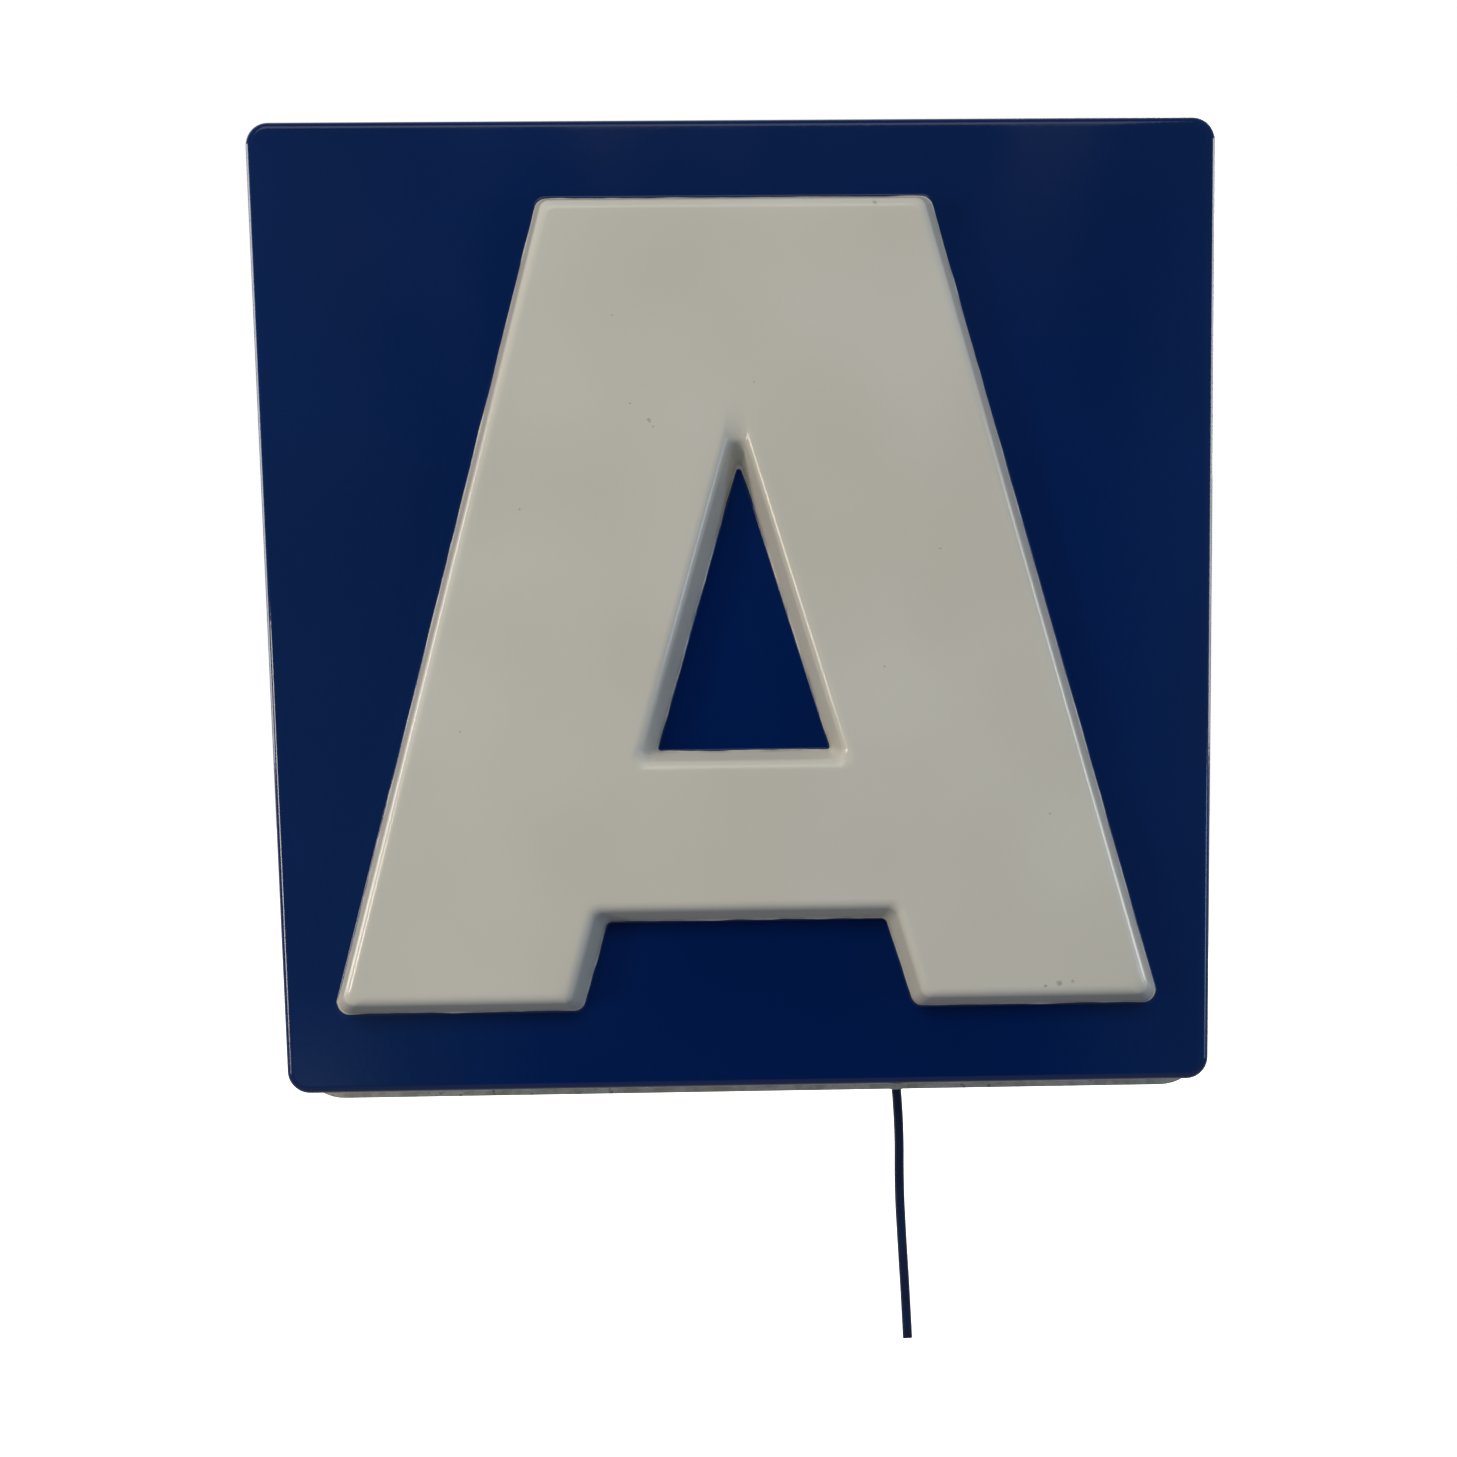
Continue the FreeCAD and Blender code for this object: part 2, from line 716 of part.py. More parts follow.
def terminal_block():
    """The moulding: a chimney over each screw, an entry for each wire and a lug at each side."""
    half, low, high = terminal_half(), terminal_up - terminal_height / 2, terminal_up + terminal_height / 2
    base, front, reach = rail_out + terminal_base, rail_out + terminal_depth, half + lug_length
    lug_front = rail_out + lug_thickness
    pieces = [block(-half, half, rail_out, base, low, high)]
    pieces.append(block(-reach, reach, rail_out, lug_front, terminal_up - 4.5, terminal_up + 4.5))
    pieces += grub_screws(3.6, base, front)
    cuts = pole_bars() + grub_screws(2.1, rail_out + 8, front + 1)
    cuts += [rod_up(wire_entry, x, terminal_entry_out(), low - 1, high + 1) for x in way_places()]
    cuts += screw_holes(terminal_screw_places(), rail_out - 1, lug_front + 1)
    return joined(pieces).cut(cuts)


def terminal_entry_out():
    return rail_out + 6.0


def terminal_inserts():
    """The two brass bars, with a bore for each way and the screws that clamp the wires."""
    out, reach = terminal_entry_out(), terminal_bar_length / 2 + 1
    bores = [rod_up(wire_entry, x, out, terminal_up - reach, terminal_up + reach) for x in way_places()]
    threads = grub_screws(grub_radius, out, rail_out + terminal_bar[1] + 1)
    bars = [bar.cut(bores + threads) for bar in pole_bars()]
    head = rail_out + 14.0
    slots = [block(x - 2, x + 2, head - 0.8, head + 1, z - 0.3, z + 0.3) for x, z in grub_places()]
    grubs = [grub.cut(slots) for grub in grub_screws(grub_radius, out + wire_entry + 0.1, head)]
    return Part.Compound(bars + grubs)


# Cord and its fittings


def cord_bush():
    """A tapered grommet in the pan's lower wall, whose slot-shaped hole fits the flat lead."""
    wall_low = -half_height
    wall_high = wall_low + pan_sheet
    cone = Part.makeCone(bush_tip, bush_root, bush_reach, Vector(*cord_route[0]), Vector(0, 0, 1))
    neck = rod_up(bush_root, cord_side, cord_out, wall_low, wall_high + bush_inside)
    collars = [
        rod_up(bush_collar, cord_side, cord_out, wall_low - bush_collar_thickness, wall_low),
        rod_up(bush_collar, cord_side, cord_out, wall_high, wall_high + bush_collar_thickness),
    ]
    ribs = []
    for share in (0.2, 0.4, 0.6):
        z = bush_end + share * bush_reach
        outer = rod_up(bush_root + 1, cord_side, cord_out, z, z + 1.0)
        ribs.append(outer.cut(rod_up(bush_tip - 0.3, cord_side, cord_out, z, z + 1.0)))
    start = (cord_side, -cord_out, bush_end - 1)
    hole = Part.Face(flat_section(start, cord_width + fit * 2, cord_thickness + fit * 2))
    hole = hole.extrude(Vector(0, 0, bush_reach + pan_sheet + bush_inside + 2))
    return joined([cone, neck] + collars).cut(ribs + [hole])


def inner_route():
    """The lead inside the sign: over the rail, under the clamp and across to where its sheath stops."""
    y, past_rail = -cord_out, 11.0 - rail_z
    return [
        (cord_side, y, bush_end),
        (cord_side, y, past_rail),
        (cord_side - 10.2, y, past_rail + 27.0),
        (cord_side - 38.2, y, past_rail + 39.0),
    ]


def inner_lead():
    route = inner_route()
    return swept(route, flat_section(route[0], cord_width, cord_thickness), "inner_lead")


def cord_clamp():
    """A saddle across the lead, with its feet on the rail."""
    top = cord_out + cord_thickness / 2
    low = clamp_places()[0][1] - clamp_length / 2
    high, half, gap_half = low + clamp_length, clamp_width / 2, cord_width / 2 + 0.3
    body = block(cord_side - half, cord_side + half, rail_out, top + clamp_thickness, low, high)
    body = body.makeFillet(2.0, [e for e in body.Edges if e.BoundBox.YLength > clamp_thickness])
    gap = block(cord_side - gap_half, cord_side + gap_half, rail_out - 1, top, low - 1, high + 1)
    return body.cut([gap] + screw_holes(clamp_places(), 0, top + clamp_thickness + 1))


def lead_cores():
    """The lead's two cores from the end of its sheath to one way of each pole."""
    end, before = Vector(*inner_route()[-1]), Vector(*inner_route()[-2])
    along = (end - before).normalize()
    across = Vector(along.z, 0, -along.x) * cord_width / 4
    low = terminal_up - terminal_height / 2
    live, neutral = way_places()[3], way_places()[1]
    pieces = []
    for start, x, drop in ((end + across, live, 12.0), (end - across, neutral, 18.0)):
        second = start + along * 6
        points = [
            (start.x, cord_out, start.z),
            (second.x, cord_out, second.z),
            (x + 6.0, terminal_entry_out() - 1, low - drop),
            (x, terminal_entry_out(), low - drop + 7.0),
            (x, terminal_entry_out(), low + 3.0),
        ]
        pieces.append(wire(points, "lead_core", cord_core))
    return Part.Compound(pieces)


def lamp_wires():
    """The left lamp's wires: top holder to starter, ballast to bottom holder, and from there to starter."""
    holder = holder_z + holder_thickness
    start_out = rail_out + 10.8
    inner_contact, outer_contact = -tube_x + pin_spacing / 2, -tube_x - pin_spacing / 2
    inner_lane = -tube_x + holder_width / 2 + 10.0
    outer_lane = -tube_x - holder_width / 2 - 5.0
    far_lane = outer_lane - 6.0
    tray_side = -tray_half_width - tray_foot
    socket_side = -ballast_x - socket_width / 2
    entry_x = -ballast_x - ballast_entry_pitch
    entry_z = ballast_up - ballast_body / 2 - ballast_terminal + 1.5
    top_to_starter = [
        (inner_contact, start_out, holder),
        (inner_contact, start_out, holder + 6.5),
        (inner_lane - 2.0, rail_out + 4.8, holder + 6.0),
        (inner_lane, rail_out + 2.8, rail_z - 4.0),
        (inner_lane + 2.0, rail_out + 2.3, starter_up + 44.0),
        (socket_side - 22.0, rail_out + 5.0, starter_up + 5.0),
        (socket_side - 10.0, rail_out + 6.8, starter_up + 3.0),
        (socket_side, rail_out + 6.8, starter_up + 3.0),
    ]
    bottom_to_ballast = [
        (outer_contact, start_out, -holder),
        (outer_contact, start_out, -holder - 6.5),
        (outer_lane + 1.0, rail_out + 5.0, -holder - 6.0),
        (outer_lane - 1.0, rail_out + 2.8, -rail_z + 2.0),
        (outer_lane + 1.0, rail_out + 2.8, -rail_z + 32.0),
        (-tube_x + 15.0, rail_out + 4.8, terminal_up - 18.0),
        (-tray_half_width + 2.0, rail_out + 13.0, terminal_up + 14.0),
        (entry_x - 2.0, ballast_entry_out() + 2.0, entry_z - 21.0),
        (entry_x, ballast_entry_out(), entry_z - 10.0),
        (entry_x, ballast_entry_out(), entry_z),
    ]
    bottom_to_starter = [
        (inner_contact, start_out, -holder),
        (inner_contact, start_out, -holder - 10.5),
        (far_lane + 1.0, rail_out + 6.8, -holder - 11.0),
        (far_lane - 0.5, rail_out + 2.8, -rail_z + 2.0),
        (far_lane + 2.0, rail_out + 0.8, -rail_z + 51.0),
        (tray_side - 13.0, 6.0, terminal_up + 27.0),
        (tray_side - 4.0, 6.0, terminal_up + 92.0),
        (tray_side - 3.0, 7.0, starter_up - 56.0),
        (socket_side - 22.0, rail_out + 3.0, starter_up - 14.0),
        (socket_side - 9.0, rail_out + 5.0, starter_up - 6.0),
        (socket_side, rail_out + 5.0, starter_up - 6.0),
    ]
    names = ("top_to_starter", "bottom_to_ballast", "bottom_to_starter")
    routes = (top_to_starter, bottom_to_ballast, bottom_to_starter)
    return [wire(route, name) for route, name in zip(routes, names)]


def return_wire(side, way):
    """From a top holder, down beside the tray, to the upper side of the terminal block."""
    holder = holder_z + holder_thickness
    start_out = rail_out + 10.8
    block_top = terminal_up + terminal_height / 2
    lane = tray_half_width + 4.0
    return wire([
        (side * (tube_x + pin_spacing / 2), start_out, holder),
        (side * (tube_x + pin_spacing / 2), start_out, holder + 11.5),
        (side * (tube_x - 15.0), start_out + 1.0, holder + 12.0),
        (side * (lane + 10.0), start_out - 1.0, rail_z - 4.0),
        (side * (lane + 9.0), start_out - 2.0, starter_up + 34.0),
        (side * (lane + 1.0), start_out - 1.0, ballast_up + 82.0),
        (side * lane, start_out - 4.0, ballast_up - 68.0),
        (side * (lane - 14.0), rail_out + 3.0, block_top + 18.0),
        (way + side * 22.0, rail_out + 1.8, block_top + 10.0),
        (way + side * 4.0, rail_out + 2.8, block_top + 9.0),
        (way, terminal_entry_out(), block_top + 6.0),
        (way, terminal_entry_out(), block_top - 2.0),
    ], "return_wire")


def feed_wire(side, way):
    """From the upper side of the terminal block to a ballast's connector."""
    block_top = terminal_up + terminal_height / 2
    entry_x = side * (ballast_x - ballast_entry_pitch)
    entry_z = ballast_up - ballast_body / 2 - ballast_terminal + 1.5
    middle = (block_top + entry_z) / 2
    return wire([
        (way, terminal_entry_out(), block_top - 2.0),
        (way, terminal_entry_out() + 2.0, block_top + 6.0),
        ((way + entry_x) / 2, ballast_entry_out() - 1.0, middle),
        (entry_x, ballast_entry_out(), entry_z - 9.0),
        (entry_x, ballast_entry_out(), entry_z),
    ], "feed_wire")


def supply_wires():
    ways_x = way_places()
    returns = [return_wire(-1, ways_x[0]), return_wire(1, ways_x[1])]
    return returns + [feed_wire(-1, ways_x[2]), feed_wire(1, ways_x[3])]


def cut_end(sheath):
    """The two bare copper ends that stand out of the sheath's cut end."""
    end, before = Vector(*cord_route[-1]), Vector(*cord_route[-2])
    along = (end - before).normalize()
    offset = Vector(cord_width / 4, 0, 0)
    cores = [Part.makeCylinder(cord_copper, cord_bare, end + offset * side, along) for side in (-1, 1)]
    return Part.Compound([core.cut(sheath) for core in cores])


# Lamp tubes


def turned(points, x, out):
    """A solid turned about an upright axis, from (radius, z) points."""
    places = [Vector(x + radius, -out, z) for radius, z in points]
    face = Part.Face(Part.makePolygon(places + places[:1]))
    return face.revolve(Vector(x, -out, 0), Vector(0, 0, 1), 360)


def tube(side):
    """A lamp tube's glass, its two caps, its four pins and the cathode mounts inside."""
    x = side * tube_x
    end = tube_length / 2
    neck_start = end - cap_length - 1.5
    glass_end = end - 2.5
    outside = [(0, -glass_end), (tube_neck, -glass_end), (tube_neck, -neck_start),
               (tube_radius, -neck_start + 2), (tube_radius, neck_start - 2),
               (tube_neck, neck_start), (tube_neck, glass_end), (0, glass_end)]
    wall = tube_glass
    inside = [(0, -glass_end + wall), (tube_neck - wall, -glass_end + wall), (tube_neck - wall, -neck_start),
              (tube_radius - wall, -neck_start + 2), (tube_radius - wall, neck_start - 2),
              (tube_neck - wall, neck_start), (tube_neck - wall, glass_end - wall), (0, glass_end - wall)]
    glass = turned(outside, x, tube_out).cut(turned(inside, x, tube_out))
    cap = rod_up(cap_radius, x, tube_out, end - cap_length, end)
    cap = cap.makeFillet(1.0, [e for e in cap.Edges if e.BoundBox.ZMin > end - 0.01])
    cap = cap.cut(rod_up(tube_neck, x, tube_out, end - cap_length, end - 1.2))
    pins = [rod_up(pin_radius, x + turn * pin_spacing / 2, tube_out, end - 1.2, end + pin_length)
            for turn in (-1, 1)]
    pins = [pin.makeFillet(0.6, [e for e in pin.Edges if e.BoundBox.ZMin > end + 1]) for pin in pins]
    cap = cap.cut(pins)
    stem = rod_up(4.0, x, tube_out, end - 28.0, glass_end - wall)
    leads = [rod_up(0.4, x + turn * 3.0, tube_out, end - 38.0, end - 28.0) for turn in (-1, 1)]
    coil = Part.makeCylinder(0.9, 8.0, Vector(x - 4.0, -tube_out, end - 38.5), Vector(1, 0, 0))
    mount = joined([stem, coil] + leads)
    caps = Part.Compound([cap, mirrored_z(cap)])
    all_pins = Part.Compound(pins + [mirrored_z(pin) for pin in pins])
    return glass, caps, all_pins, Part.Compound([mount, mirrored_z(mount)])


def make_face():
    save("face_shell", face_shell())
    save("gasket_strips", gasket_strips())
    frame_lengths()
    save("retainer_screws", frame_screws())


def make_pan():
    save("back_pan", back_pan())
    save("flange_nuts", flange_nuts())
    rail = holder_rail()
    save("holder_rail_top", rail)
    save("holder_rail_bottom", mirrored_z(rail).cut(screw_holes(clamp_places(), 0, rail_out + 1)))
    save("gear_tray", gear_tray())


def make_gear():
    names = ("top_right", "top_left", "bottom_right", "bottom_left")
    for name, holder in zip(names, four_corners(lampholder())):
        save("lampholder_" + name, holder)
    blades = Part.Compound([contact_pocket(side) for side in (-1, 1)])
    save("holder_contacts", Part.Compound(four_corners(blades)))
    holder_screws = gear_screws([(tube_x, holder_foot_z())], rail_out + holder_foot_thickness, 9.0)
    save("holder_screws", Part.Compound(four_corners(holder_screws)))
    right = ballast()
    save("ballast_right", right)
    save("ballast_left", mirrored_x(right))
    connector = ballast_block()
    save("ballast_terminals", Part.Compound([connector, mirrored_x(connector)]))
    save("ballast_screws", gear_screws(ballast_screw_places(), rail_out + ballast_foot_sheet, 7.0))
    for name, side in (("left", -1), ("right", 1)):
        save("starter_socket_" + name, starter_socket(side))
        can, base, pins = starter(side)
        save("starter_can_" + name, can)
        save("starter_base_" + name, base)
        save("starter_pins_" + name, pins)
        glass, caps, tube_pins, cathodes = tube(side)
        save("tube_glass_" + name, glass)
        save("tube_caps_" + name, caps)
        save("tube_pins_" + name, tube_pins)
        save("tube_cathodes_" + name, cathodes)
    save("socket_screws", gear_screws(socket_screw_places(), rail_out + socket_depth, 20.0))
    save("terminal_block", terminal_block())
    save("terminal_inserts", terminal_inserts())
    save("terminal_screws", gear_screws(terminal_screw_places(), rail_out + lug_thickness, 9.0))
    left_wires = lamp_wires()
    save("lamp_wires_left", Part.Compound(left_wires))
    save("lamp_wires_right", Part.Compound([mirrored_x(w) for w in left_wires]))
    save("supply_wires", Part.Compound(supply_wires()))


def make_cord():
    save("cord_bush", cord_bush())
    save("inner_lead", inner_lead())
    save("lead_cores", lead_cores())
    save("cord_clamp", cord_clamp())
    clamp_front = cord_out + cord_thickness / 2 + clamp_thickness
    save("cord_clamp_screws", gear_screws(clamp_places(), clamp_front, 12.0))
    sheath = swept(cord_route, flat_section(cord_route[0], cord_width, cord_thickness), "mains_cord")
    save("mains_cord", sheath)
    save("cord_cut_end", cut_end(sheath))


os.makedirs("parts", exist_ok=True)
print("relief wall slope", round(degrees(atan(relief_draft / relief)), 1), "degrees")
make_face()
make_pan()
make_gear()
make_cord()
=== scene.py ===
import bpy
import json
import math
from mathutils import Euler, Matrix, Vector
from mathutils.geometry import tessellate_polygon


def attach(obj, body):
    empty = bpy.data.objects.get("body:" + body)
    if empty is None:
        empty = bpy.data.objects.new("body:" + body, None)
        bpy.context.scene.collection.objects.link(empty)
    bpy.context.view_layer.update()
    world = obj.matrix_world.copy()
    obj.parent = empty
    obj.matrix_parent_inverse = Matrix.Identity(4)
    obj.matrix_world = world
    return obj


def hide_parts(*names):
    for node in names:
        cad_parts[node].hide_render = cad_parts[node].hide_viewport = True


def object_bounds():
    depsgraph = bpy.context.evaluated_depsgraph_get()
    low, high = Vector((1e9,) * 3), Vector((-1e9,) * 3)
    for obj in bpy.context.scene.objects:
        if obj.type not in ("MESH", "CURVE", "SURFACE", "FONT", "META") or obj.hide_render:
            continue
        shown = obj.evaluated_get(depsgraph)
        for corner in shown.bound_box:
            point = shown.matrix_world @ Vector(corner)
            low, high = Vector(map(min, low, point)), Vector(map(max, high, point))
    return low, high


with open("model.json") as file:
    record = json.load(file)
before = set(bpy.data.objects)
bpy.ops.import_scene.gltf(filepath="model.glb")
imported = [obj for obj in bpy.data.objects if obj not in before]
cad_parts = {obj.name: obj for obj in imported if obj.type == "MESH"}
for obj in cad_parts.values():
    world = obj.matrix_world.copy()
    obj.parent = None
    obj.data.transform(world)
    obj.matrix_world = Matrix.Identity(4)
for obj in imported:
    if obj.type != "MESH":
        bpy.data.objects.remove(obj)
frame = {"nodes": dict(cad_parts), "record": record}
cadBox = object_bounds()
scene = bpy.context.scene
mm = 0.001
print("frame loaded:", len(frame["nodes"]), "nodes")


# the camera stands a little right of the letter's middle and below it, and looks slightly down
viewpoint = {
    "place": (0.0319, -0.8718, -0.1034),
    "turn": (85.196, 0.781, -1.011),
    "lens": 36.0,
    "shift": (-0.07, 0.14),
}


def makeCamera():
    data = bpy.data.cameras.new("camera")
    data.sensor_width = 36.0
    data.lens = viewpoint["lens"]
    data.shift_x, data.shift_y = viewpoint["shift"]
    data.clip_start = 0.01
    camera = bpy.data.objects.new("camera", data)
    camera.location = viewpoint["place"]
    camera.rotation_euler = Euler([math.radians(a) for a in viewpoint["turn"]])
    scene.collection.objects.link(camera)
    scene.camera = camera


makeCamera()
print("camera placed")


def linear(hexColour):
    parts = [int(hexColour[i:i + 2], 16) / 255 for i in (1, 3, 5)]
    return tuple(p / 12.92 if p <= 0.04045 else ((p + 0.055) / 1.055) ** 2.4 for p in parts) + (1.0,)


def addNode(tree, kind, settings=None, inputs=None):
    node = tree.nodes.new(kind)
    for name, value in (settings or {}).items():
        setattr(node, name, value)
    for name, value in (inputs or {}).items():
        if isinstance(value, bpy.types.NodeSocket):
            tree.links.new(value, node.inputs[name])
        else:
            node.inputs[name].default_value = value
    return node


def newMaterial(name, values):
    material = bpy.data.materials.new(name)
    material.use_nodes = True
    tree = material.node_tree
    tree.nodes.clear()
    shader = addNode(tree, "ShaderNodeBsdfPrincipled", {}, values)
    addNode(tree, "ShaderNodeOutputMaterial", {}, {"Surface": shader.outputs[0]})
    place = addNode(tree, "ShaderNodeTexCoord").outputs["Object"]
    return material, tree, shader, place


# a noise whose features are about this many millimetres, stretched along an axis if asked
def noiseOf(tree, place, size, stretch=(1, 1, 1), detail=3.0):
    moved = addNode(tree, "ShaderNodeMapping", {}, {"Vector": place, "Scale": stretch}).outputs[0]
    inputs = {"Vector": moved, "Scale": 1 / (size * mm), "Detail": detail}
    return addNode(tree, "ShaderNodeTexNoise", {}, inputs).outputs[0]


def remap(tree, value, low, high, toLow, toHigh):
    inputs = {0: value, 1: low, 2: high, 3: toLow, 4: toHigh}
    return addNode(tree, "ShaderNodeMapRange", {"interpolation_type": "SMOOTHSTEP"}, inputs).outputs[0]


def blendColours(tree, factor, first, second):
    settings = {"data_type": "RGBA", "clamp_factor": True}
    return addNode(tree, "ShaderNodeMix", settings, {0: factor, 6: first, 7: second}).outputs[2]


def mathOf(tree, kind, first, second):
    return addNode(tree, "ShaderNodeMath", {"operation": kind}, {0: first, 1: second}).outputs[0]


def bumpInto(tree, shader, height, depth):
    bump = addNode(tree, "ShaderNodeBump", {}, {"Strength": 1.0, "Distance": depth * mm, "Height": height})
    tree.links.new(bump.outputs[0], shader.inputs["Normal"])


dirtFade = 0.12  # how far into the noise a dirt mark fades in


# every plain finish: two tones in patches, a roughness that wanders, and a fine grain
def finishMaterial(name, look):
    values = {"Metallic": look.get("metallic", 0.0), "IOR": look.get("ior", 1.5)}
    values["Coat Weight"] = look.get("coat", 0.0)
    values["Coat Roughness"] = look.get("coatRoughness", 0.1)
    material, tree, shader, place = newMaterial(name, values)
    stretch = look.get("stretch", (1, 1, 1))
    patches = noiseOf(tree, place, look["patch"], stretch)
    tones = blendColours(tree, remap(tree, patches, 0.35, 0.65, 0, 1), linear(look["tones"][0]),
                         linear(look["tones"][1]))
    if "dirt" in look:
        dirt = look["dirt"]
        marks = noiseOf(tree, place, dirt["size"], detail=6.0)
        amount = remap(tree, marks, dirt["from"], dirt["from"] + dirtFade, 0, dirt["amount"])
        tones = blendColours(tree, amount, tones, linear(dirt["colour"]))
    tree.links.new(tones, shader.inputs["Base Color"])
    rough = noiseOf(tree, place, look["patch"] * 0.6, stretch)
    tree.links.new(remap(tree, rough, 0.3, 0.7, *look["roughness"]), shader.inputs["Roughness"])
    grain = noiseOf(tree, place, look["grain"], stretch, 2.0)
    bumpInto(tree, shader, grain, look["height"])
    return material


# the lead: flat twin PVC, pulled straight by its own weight with a little set left in it
cordRoute = [
    (0.0842, -0.0115, -0.2700),
    (0.0858, -0.0113, -0.2920),
    (0.0853, -0.0108, -0.3300),
    (0.0867, -0.0104, -0.3620),
    (0.0885, -0.0103, -0.3960),
    (0.0896, -0.0105, -0.4235),
]
lead = {
    "width": 5.8, "thickness": 3.6, "waist": 0.35, "twist": (0, 12, -8, 10, 4, 0), "sides": 32,
    "lobeSteepness": 2.2, "grooveWidth": 0.55,
}


def routeLine(points):
    curve = bpy.data.curves.new("leadLine", "CURVE")
    curve.dimensions = "3D"
    spline = curve.splines.new("NURBS")
    spline.points.add(len(points) - 1)
    for point, place in zip(spline.points, points):
        point.co = (*place, 1.0)
    spline.order_u = 3
    spline.use_endpoint_u = True
    spline.resolution_u = 16
    holder = bpy.data.objects.new("leadLine", curve)
    scene.collection.objects.link(holder)
    bpy.context.view_layer.update()
    mesh = bpy.data.meshes.new_from_object(holder)
    line = [v.co.copy() for v in mesh.vertices]
    bpy.data.meshes.remove(mesh)
    bpy.data.objects.remove(holder)
    return line


# the two cores show as two soft lobes with a shallow groove between them
def leadSection(angle):
    halfWidth, halfThick = lead["width"] / 2, lead["thickness"] / 2
    flat = halfWidth - halfThick
    x, y = math.cos(angle), math.sin(angle)
    lobe = flat * max(-1.0, min(1.0, x * lead["lobeSteepness"]))
    groove = lead["waist"] * math.exp(-((lobe + halfThick * x) / lead["grooveWidth"]) ** 2) * abs(y)
    return lobe + halfThick * x, (halfThick - groove) * y


def makeLead():
    line = routeLine(cordRoute)
    vertices, faces, sides = [], [], lead["sides"]
    last = len(line) - 1
    for index, place in enumerate(line):
        along = (line[min(index + 1, last)] - line[max(index - 1, 0)]).normalized()
        share = index / last * (len(lead["twist"]) - 1)
        step = min(int(share), len(lead["twist"]) - 2)
        turn = lead["twist"][step] + (lead["twist"][step + 1] - lead["twist"][step]) * (share - step)
        across = Vector((math.cos(math.radians(turn)), math.sin(math.radians(turn)), 0))
        across = (across - along * across.dot(along)).normalized()
        thick = along.cross(across)
        for side in range(sides):
            u, v = leadSection(2 * math.pi * side / sides)
            vertices.append(place + across * u * mm + thick * v * mm)
    for index in range(last):
        for side in range(sides):
            a, b = index * sides + side, index * sides + (side + 1) % sides
            faces.append((a, b, b + sides, a + sides))
    faces.append(tuple(reversed(range(sides))))
    faces.append(tuple(last * sides + side for side in range(sides)))
    return addMesh("mainsLead", vertices, faces, "back_box"), line


def addMesh(name, vertices, faces, body, sharpAngle=40):
    mesh = bpy.data.meshes.new(name)
    mesh.from_pydata([tuple(v) for v in vertices], [], faces)
    mesh.validate()
    mesh.shade_smooth()
    mesh.set_sharp_from_angle(angle=math.radians(sharpAngle))
    piece = bpy.data.objects.new(name, mesh)
    scene.collection.objects.link(piece)
    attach(piece, body)
    return piece


mainsLead, leadLine = makeLead()
leadLength = sum((b - a).length for a, b in zip(leadLine, leadLine[1:]))
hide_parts("mains_cord")
print("lead made, length", round(leadLength, 4))


# the face shell: one sheet of opal acrylic, drawn over a mould
shell = {
    "halfWidth": 251.0, "halfHeight": 253.0, "faceOut": 88.0, "corner": 12.0, "edge": 4.5, "draft": 1.5,
    "wall": 3.0, "back": 22.0, "flange": 12.2, "rootFillet": 1.6, "cornerSteps": 10, "filletSteps": 7,
}
letter = {
    "height": 422.5, "foot": 446.0, "top": 203.0, "rise": 1.75, "notchHeight": 48.0, "notchMouth": 179.0,
    "notchTop": 150.0, "counterWidth": 92.6, "counterHeight": 151.6, "counterUp": 138.5,
    "relief": 16.0, "draft": 7.0, "footFillet": 2.0, "topFillet": 6.5,
    "outerCorner": (6.5, 5.5), "innerCorner": (3.5, 6.5), "counterCorner": (1.5, 6.0),
}


def insetCorners(corners, distance):
    moved = []
    for index, here in enumerate(corners):
        before = (here - corners[index - 1]).normalized()
        after = (corners[(index + 1) % len(corners)] - here).normalized()
        normals = Vector((-before.y - after.y, before.x + after.x))
        moved.append(here + normals * (distance / (1 + before.dot(after))))
    return moved


# one closed ring of points: straight sides with an arc at each corner, at a height in front of the wall
def ring(corners, radii, out):
    points, count, steps = [], len(corners), shell["cornerSteps"]
    for index, corner in enumerate(corners):
        back = (corners[index - 1] - corner).normalized()
        ahead = (corners[(index + 1) % count] - corner).normalized()
        half = back.angle(ahead) / 2
        radius = radii[index]
        centre = corner + (back + ahead).normalized() * (radius / math.sin(half))
        start = corner + back * (radius / math.tan(half)) - centre
        end = corner + ahead * (radius / math.tan(half)) - centre
        turn = start.angle_signed(end)
        for step in range(steps + 1):
            angle = -turn * step / steps
            x = start.x * math.cos(angle) - start.y * math.sin(angle)
            y = start.x * math.sin(angle) + start.y * math.cos(angle)
            points.append(Vector(((centre.x + x) * mm, -out * mm, (centre.y + y) * mm)))
    return points


def cornerPoints(pairs):
    return [Vector(pair) for pair in pairs]


def boxCorners(growth):
    x, z = shell["halfWidth"] + growth, shell["halfHeight"] + growth
    return cornerPoints([(-x, -z), (x, -z), (x, z), (-x, z)])


def boxRing(growth, out):
    radius = max(shell["corner"] + growth, 3.0)
    return ring(boxCorners(growth), [radius] * 4, out)


def letterCorners():
    foot = letter["rise"] - letter["height"] / 2
    notch = foot + letter["notchHeight"]
    right = [(letter["notchTop"] / 2, notch), (letter["notchMouth"] / 2, foot), (letter["foot"] / 2, foot),
             (letter["top"] / 2, foot + letter["height"])]
    left = [(-x, z) for x, z in reversed(right)]
    return cornerPoints(right + left)


def counterCorners():
    base = letter["rise"] - letter["height"] / 2 + letter["counterUp"]
    half = letter["counterWidth"] / 2
    return cornerPoints([(-half, base), (half, base), (0, base + letter["counterHeight"])])


